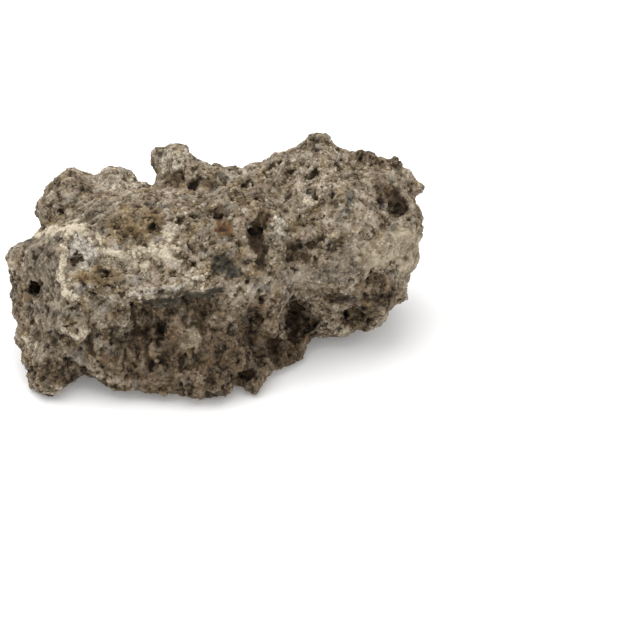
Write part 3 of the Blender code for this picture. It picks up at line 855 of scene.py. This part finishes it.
@dataclass
class Skin:
    """The sintered skin that stands for the solid: lumps, pits and pores over its forms."""

    voxel: float = 0.72 * MM
    smoothing: int = 2
    smooth_factor: float = 0.5
    weld: float = 0.001 * MM
    clod: float = 6.0 * MM
    clod_height: float = 2.0 * MM
    crumb: float = 2.6 * MM
    crumb_height: float = 1.7 * MM
    pit: float = 4.0 * MM
    pit_depth: float = 1.9 * MM
    pit_edges: Span = (0.43, 0.30)
    pore: float = 2.0 * MM
    pore_depth: float = 0.8 * MM
    pore_edges: Span = (0.42, 0.28)
    rib: float = 3.0 * MM
    rib_height: float = 2.6 * MM
    rib_stretch: Triple = (1.0, 1.0, 0.38)
    blur_steps: int = 28
    # how much pores and the clefts between ribs count as sunk, and crumbs and ribs as proud; the
    # material paints shade on sunk places and highlight on proud ones
    pore_sunk: float = 0.6
    cleft_sunk: Span = (-0.08, -0.22)
    crumb_light: float = 1.5
    rib_light: float = 2.2
    edge_noise: float = 1.4
    edge_size: float = 4.5
    ripple_noise: float = 1.0
    ripple_size: float = 1.6
    seed: int = 5
    seen_from: float = -0.15
    seen_to: float = 0.15
    hidden_size: float = 17.0 * MM
    hidden_step: float = 1.7
    hidden_edge: float = 0.25
    hidden_strength: float = 0.85
    # the umber stain grows towards the bottom on the sides that aren't pictured, so they darken
    # towards the floor
    dark_height: float = 26.0 * MM
    dark_foot: float = 0.8

    def build(self) -> bpy.types.Object:
        """Builds the skin and returns its object."""
        base = self._smooth_base()
        self._mark_patches(base)
        material = FusedSand("fused_sand_skin").build()
        tree = self._relief_tree()
        add_nodes(base, tree, {
            "Clod": self.clod, "Clod Height": self.clod_height,
            "Crumb": self.crumb, "Crumb Height": self.crumb_height,
            "Pit": self.pit, "Pit Depth": self.pit_depth,
            "Pore": self.pore, "Pore Depth": self.pore_depth,
            "Rib": self.rib, "Rib Height": self.rib_height, "Material": material})
        skin = dressed_copy(base, "skin")
        for polygon in skin.data.polygons:
            polygon.use_smooth = True
        return skin

    def _smooth_base(self) -> bpy.types.Object:
        """Copies the solid's mesh, merges it and gives it an even, smooth mesh."""
        mesh = bpy.data.objects[NODE].data.copy()
        base = bpy.data.objects.new("base", mesh)
        bpy.context.scene.collection.objects.link(base)
        weld = base.modifiers.new("merge", "WELD")
        weld.merge_threshold = self.weld
        remesh = base.modifiers.new("even mesh", "REMESH")
        remesh.mode = "VOXEL"
        remesh.voxel_size = self.voxel
        smooth = base.modifiers.new("round the facets", "SMOOTH")
        smooth.factor = self.smooth_factor
        smooth.iterations = self.smoothing
        return dressed_copy(base, "smooth_base")

    def _mark_patches(self, base: bpy.types.Object) -> None:
        """Stores the cover of each finish, and the calm that it brings, on the mesh's points."""
        mesh = base.data
        count = len(mesh.vertices)
        points, normals = np.empty(count * 3), np.empty(count * 3)
        mesh.vertices.foreach_get("co", points)
        mesh.vertex_normals.foreach_get("vector", normals)
        points, normals = points.reshape(-1, 3), normals.reshape(-1, 3)
        picture = FRONT.read(points)
        noise.seed_set(self.seed)
        wander = np.array([noise.noise_vector(Vector(row) / self.edge_size) for row in picture])
        ripple = np.array([noise.noise_vector(Vector(row) / self.ripple_size) for row in picture])
        wandered = (picture[:, :2] + self.edge_noise * wander[:, :2]
                    + self.ripple_noise * ripple[:, :2])
        seen = np.clip(
            (FRONT.facing(normals) - self.seen_from) / (self.seen_to - self.seen_from), 0, 1)
        calm, rise, ribbed = np.zeros(count), np.zeros(count), np.zeros(count)
        for finish, tone in TONES.items():
            cover = np.zeros(count)
            for patch in PATCHES:
                if patch.finish is finish:
                    cover = np.maximum(cover, patch.weights(wandered))
            for stroke in STROKES:
                if stroke.finish is finish:
                    weights = stroke.weights(wandered) * seen
                    cover = np.maximum(cover, stroke.strength * weights)
                    rise += stroke.rise * weights
            cover = np.maximum(cover * seen, (1 - seen) * self._hidden_cover(finish, points))
            store_attribute(mesh, finish.value, cover)
            calm += cover * (tone.calm - calm)
            ribbed += cover * (tone.ribs - ribbed)
        store_attribute(mesh, "calm", calm)
        store_attribute(mesh, "ribbed", np.clip(ribbed, 0, 1))
        store_attribute(mesh, "rise", rise * MM)

    def _hidden_cover(self, finish: Finish, points: np.ndarray) -> np.ndarray:
        """Works out how strongly a finish covers the sides that the front picture doesn't show.

        Args:
            finish: The finish.
            points: One row of X, Y and Z for each point.

        Returns:
            A number from 0 to 1 for each point.
        """
        if finish not in HIDDEN_START:
            return np.zeros(len(points))
        shift = Vector((self.hidden_step * list(Finish).index(finish), 0.0, 0.0))
        cloud = np.array([noise.noise(Vector(row) / self.hidden_size + shift) for row in points])
        if finish is UMBER:
            cloud += self.dark_foot * np.clip(1 - points[:, 2] / self.dark_height, 0, 1)
        inside = np.clip((cloud - HIDDEN_START[finish]) / self.hidden_edge, 0, 1)
        return self.hidden_strength * inside

    def _relief_tree(self) -> bpy.types.NodeTree:
        """Builds the tree that raises clods and crumbs and sinks ragged pits along the normals."""
        sizes = ("Clod", "Clod Height", "Crumb", "Crumb Height",
                 "Pit", "Pit Depth", "Pore", "Pore Depth", "Rib", "Rib Height")
        kinds = {name: "NodeSocketFloat" for name in sizes} | {"Material": "NodeSocketMaterial"}
        graph, geometry = new_geometry_tree("relief", kinds)
        given = {name: geometry.beside(name) for name in kinds}
        place = graph.node("GeometryNodeInputPosition")
        normal = graph.node("GeometryNodeInputNormal")
        rough = 1 - graph.named("calm")
        clods = graph.noise(place, given["Clod"], 2.0, 0.5) - 0.5
        crumbs = graph.noise(place, given["Crumb"], 3.0, 0.6, shift=(0.1, 0.2, 0.3)) - 0.5
        pits = graph.noise(
            place, given["Pit"], 2.0, 0.55, shift=(0.4, 0.1, 0.2)).eased(*self.pit_edges)
        pores = graph.noise(
            place, given["Pore"], 1.0, 0.5, shift=(0.2, 0.5, 0.1)).eased(*self.pore_edges)
        height = (clods * given["Clod Height"] + crumbs * given["Crumb Height"]
                  - pits * given["Pit Depth"] - pores * given["Pore Depth"]) * rough
        upright = graph.vector("MULTIPLY", place, self.rib_stretch)
        ribs = (graph.noise(upright, given["Rib"], 2.0, 0.55) - 0.5) * graph.named("ribbed")
        height = height + ribs * given["Rib Height"] + graph.named("rise")
        blurred = graph.node(
            "GeometryNodeBlurAttribute", {"data_type": "FLOAT_VECTOR"},
            {"Value": place, "Iterations": self.blur_steps}, "Value")
        hollow = graph.vector(
            "DOT_PRODUCT", graph.vector("SUBTRACT", blurred, place), normal, output="Value")
        # sunk marks pits, pores and clefts between ribs, where the material paints shade and grains
        # take their share in pits; proud marks raised crumbs, clods and ribs, where it paints
        # highlight; hollow marks concave places, where it paints shade
        sunk = (pits + pores * self.pore_sunk) * rough + ribs.eased(*self.cleft_sunk)
        proud = (crumbs * self.crumb_light + clods) * rough + ribs * self.rib_light
        stored = geometry
        for name, value in (("sunk", sunk), ("proud", proud), ("hollow", hollow * (1 / MM))):
            stored = graph.node(
                "GeometryNodeStoreNamedAttribute", {"data_type": "FLOAT", "domain": "POINT"},
                {"Geometry": stored, "Name": name, "Value": value}, "Geometry")
        offset = graph.vector("SCALE", normal, scale=height)
        moved = graph.node("GeometryNodeSetPosition", None, {"Geometry": stored, "Offset": offset})
        parts = graph.split(place)
        on_floor = graph.node("ShaderNodeCombineXYZ", None, {
            "X": parts, "Y": parts.beside("Y"), "Z": parts.beside("Z").larger(0.0)})
        level = graph.node(
            "GeometryNodeSetPosition", None, {"Geometry": moved, "Position": on_floor})
        return end_geometry_tree(graph, level, given["Material"])


@dataclass(frozen=True)
class GrainKind:
    """One kind of sand grain: how pale it is, its count and sizes, and where it likes to lie.

    The density on the plain body is 1 for most kinds, in_pits is its share inside a pit, and likes
    gives it on the finishes. Clumping is above 0 for grains that gather in the pale clumps of the
    body, and below 0 for those that gather in the dark ones.
    """

    name: str
    lift: float
    count: int
    small: float
    large: float
    seed: int
    body: float
    in_pits: float
    clumping: float
    likes: tuple[tuple[Finish, float], ...]

    def density(self, covers: Mapping[Finish, np.ndarray], sunk: np.ndarray) -> np.ndarray:
        """Works out how densely the grains lie at each point.

        Args:
            covers: The cover of each finish.
            sunk: How deep in a pit each point is, from 0 to 1.

        Returns:
            The density, in which only the ratios count.
        """
        likes = dict(self.likes)
        density = np.full(len(sunk), self.body)
        for finish, cover in covers.items():
            density += cover * (likes.get(finish, self.body) - density)
        return density * (1 + np.clip(sunk, 0, 1) * (self.in_pits - 1))


GRAINS: tuple[GrainKind, ...] = (
    GrainKind("cream_grains", 0.30, 4600, 0.8 * MM, 1.7 * MM, 23, 0.10, 0.1, 1.5, (
        (CREAM, 3.0), (ASH, 1.6), (SAND, 0.4), (TAN, 0.1), (UMBER, 0.0), (PAINTED_SHADE, 0.0), (GLASS, 0.0),
        (RUST, 0.0))),
    GrainKind("pale_grains", 0.15, 8200, 0.8 * MM, 1.8 * MM, 3, 1.0, 0.3, 1.5, (
        (CREAM, 1.6), (ASH, 1.4), (SAND, 0.5), (TAN, 0.6), (UMBER, 0.1), (PAINTED_SHADE, 0.0), (GLASS, 0.0),
        (RUST, 0.0))),
    GrainKind("sand_grains", 0.03, 9000, 0.8 * MM, 1.9 * MM, 7, 1.0, 0.6, 0.5, (
        (CREAM, 0.7), (SAND, 0.5), (PAINTED_SHADE, 0.1), (GLASS, 0.05), (RUST, 0.0), (UMBER, 0.7))),
    GrainKind("grey_grains", -0.03, 5400, 0.8 * MM, 1.7 * MM, 11, 1.0, 0.6, 0.0, (
        (ASH, 2.0), (CREAM, 0.4), (SAND, 0.2), (PAINTED_SHADE, 0.2), (GLASS, 0.2), (RUST, 0.0))),
    GrainKind("brown_grains", -0.12, 7400, 0.8 * MM, 1.8 * MM, 13, 1.0, 1.2, -1.2, (
        (TAN, 1.8), (CREAM, 0.2), (SAND, 0.2), (PAINTED_SHADE, 0.7), (UMBER, 1.6), (GLASS, 0.05),
        (RUST, 0.4))),
    GrainKind("dark_grains", -0.26, 5000, 0.8 * MM, 1.6 * MM, 17, 1.0, 1.6, -1.8, (
        (CREAM, 0.1), (ASH, 0.5), (SAND, 0.1), (PAINTED_SHADE, 1.6), (UMBER, 1.5), (GLASS, 0.3),
        (RUST, 0.2))),
)


@dataclass
class SandGrains:
    """The grains of sand that are sintered to the skin, one piece for each kind."""

    skin: bpy.types.Object
    kinds: tuple[GrainKind, ...] = GRAINS
    sunk_share: float = 0.30
    clump: float = CLUMP
    gathering: float = 4.0
    least_stretch: float = 0.65
    most_stretch: float = 1.2
    clear_of_floor: float = 2.2 * MM

    def build(self) -> list[bpy.types.Object]:
        """Builds one piece for each kind and returns them."""
        tree = self._tree()
        return [self._piece(kind, tree) for kind in self.kinds]

    def _piece(self, kind: GrainKind, tree: bpy.types.NodeTree) -> bpy.types.Object:
        """Spreads one kind of grain over the skin.

        Args:
            kind: The kind.
            tree: The tree that spreads grains.

        Returns:
            The piece.
        """
        mesh = self.skin.data.copy()
        carrier = bpy.data.objects.new("carrier", mesh)
        bpy.context.scene.collection.objects.link(carrier)
        covers = {finish: read_attribute(mesh, finish.value) for finish in Finish}
        density = kind.density(covers, read_attribute(mesh, "sunk"))
        heights = np.empty(len(mesh.vertices) * 3)
        mesh.vertices.foreach_get("co", heights)
        density[heights[2::3] < self.clear_of_floor] = 0.0
        store_attribute(mesh, "density", density)
        add_nodes(carrier, tree, {
            "Density": kind.count / self._amount(mesh, density),
            "Clumping": kind.clumping, "Clump": self.clump, "Small": kind.small,
            "Large": kind.large, "Sunk": self.sunk_share, "Seed": kind.seed,
            "Material": FusedSand(kind.name, kind.lift).build()})
        return dressed_copy(carrier, kind.name)

    @staticmethod
    def _amount(mesh: bpy.types.Mesh, density: np.ndarray) -> float:
        """Adds up the density over the mesh's surface."""
        total = 0.0
        for polygon in mesh.polygons:
            total += polygon.area * density[list(polygon.vertices)].mean()
        return total

    def _tree(self) -> bpy.types.NodeTree:
        """Builds the tree that spreads turned and stretched grains over a surface."""
        sizes = ("Density", "Clumping", "Clump", "Small", "Large", "Sunk")
        kinds = {name: "NodeSocketFloat" for name in sizes} | {
            "Seed": "NodeSocketInt", "Material": "NodeSocketMaterial"}
        graph, geometry = new_geometry_tree("grains", kinds)
        given = {name: geometry.beside(name) for name in kinds}
        clumps = graph.clumps(graph.node("GeometryNodeInputPosition"), given["Clump"])
        gathered = (1 + clumps * given["Clumping"] * self.gathering).larger(0.0)
        spread = graph.node(
            "GeometryNodeDistributePointsOnFaces", {"distribute_method": "RANDOM"},
            {"Mesh": geometry, "Density": graph.named("density") * given["Density"] * gathered,
             "Seed": given["Seed"]}, "Points")
        size = graph.node(
            "FunctionNodeRandomValue", {"data_type": "FLOAT"},
            {"Min_001": given["Small"], "Max_001": given["Large"], "Seed": given["Seed"]},
            "Value_001")
        stretch, turn = (graph.node(
            "FunctionNodeRandomValue", {"data_type": "FLOAT_VECTOR"},
            {"Min": (least,) * 3, "Max": (most,) * 3, "Seed": given["Seed"] + step}, "Value")
            for least, most, step in (
                (self.least_stretch, self.most_stretch, 1), (0.0, math.tau, 2)))
        inward = graph.vector("SCALE", spread.beside("Normal"), scale=(0 - size * given["Sunk"]))
        points = graph.node(
            "GeometryNodeSetPosition", None, {"Geometry": spread, "Offset": inward})
        grain = graph.node("GeometryNodeMeshIcoSphere", None, {"Radius": 0.5, "Subdivisions": 1})
        rounded = graph.node("GeometryNodeSetShadeSmooth", None, {"Geometry": grain})
        grains = graph.node(
            "GeometryNodeInstanceOnPoints", None,
            {"Points": points, "Instance": rounded, "Rotation": turn,
             "Scale": graph.vector("SCALE", stretch, scale=size)})
        return end_geometry_tree(graph, grains, given["Material"])


@dataclass
class Studio:
    """The pale floor, the soft lights and the camera."""

    lens: float = 200.12
    sensor: float = 36.0
    floor_size: float = 6.0
    key_direction: Triple = (-0.20, 0.10, 1.0)
    key_distance: float = 0.9
    key_size: float = 1.1
    key_power: float = 5.8
    sky: float = 0.86
    floor_shade: float = 0.95
    floor_glow: float = 0.12

    def build(self) -> None:
        """Builds the floor, the lights and the camera."""
        self._floor()
        self._key_light()
        self._sky_light()
        self._camera()
        bpy.context.scene.view_settings.view_transform = "Standard"

    def _floor(self) -> None:
        """Lays a plain pale floor."""
        half = self.floor_size / 2
        mesh = bpy.data.meshes.new("floor")
        corners = [(-half, -half, 0), (half, -half, 0), (half, half, 0), (-half, half, 0)]
        mesh.from_pydata(corners, [], [(0, 1, 2, 3)])
        material = bpy.data.materials.new("floor")
        material.use_nodes = True
        shader = material.node_tree.nodes["Principled BSDF"]
        shader.inputs["Base Color"].default_value = (*(self.floor_shade,) * 3, 1.0)
        shader.inputs["Emission Color"].default_value = (1.0, 1.0, 1.0, 1.0)
        shader.inputs["Emission Strength"].default_value = self.floor_glow
        shader.inputs["Roughness"].default_value = 1.0
        shader.inputs["Specular IOR Level"].default_value = 0.0
        mesh.materials.append(material)
        floor = bpy.data.objects.new("floor", mesh)
        bpy.context.scene.collection.objects.link(floor)

    def _key_light(self) -> None:
        """Hangs one wide soft light above the specimen, a little to the left and behind it."""
        light = bpy.data.lights.new("key", "AREA")
        light.shape = "DISK"
        light.size = self.key_size
        light.energy = self.key_power
        lamp = bpy.data.objects.new("key", light)
        aim = Vector(self.key_direction).normalized()
        lamp.location = aim * self.key_distance
        lamp.rotation_euler = aim.to_track_quat("Z", "Y").to_euler()
        bpy.context.scene.collection.objects.link(lamp)

    def _sky_light(self) -> None:
        """Fills the room with an even white light."""
        world = bpy.data.worlds.new("room")
        world.use_nodes = True
        background = world.node_tree.nodes["Background"]
        background.inputs["Color"].default_value = (1.0, 1.0, 1.0, 1.0)
        background.inputs["Strength"].default_value = self.sky
        bpy.context.scene.world = world

    def _camera(self) -> None:
        """Sets the camera at the photograph's viewing angle."""
        camera = bpy.data.cameras.new("camera")
        camera.lens = self.lens
        camera.sensor_width = self.sensor
        obj = bpy.data.objects.new("camera", camera)
        place = FRONT.place(*FRONT.eye)
        obj.matrix_world = Matrix.Translation(place) @ FRONT.axes().to_4x4()
        bpy.context.scene.collection.objects.link(obj)
        bpy.context.scene.camera = obj


def hand_over(piece: bpy.types.Object) -> None:
    """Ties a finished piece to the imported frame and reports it."""
    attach(piece, BODY)
    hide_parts(NODE)
    triangles = sum(len(polygon.vertices) - 2 for polygon in piece.data.polygons)
    LOG.info("%s: %d triangles", piece.name, triangles)


def main() -> None:
    """Builds the pieces and the studio."""
    logging.basicConfig(level=logging.INFO, format="%(name)s: %(message)s")
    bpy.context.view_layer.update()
    skin = Skin().build()
    hand_over(skin)
    for grains in SandGrains(skin).build():
        hand_over(grains)
    Studio().build()


if __name__ == "__main__":
    main()
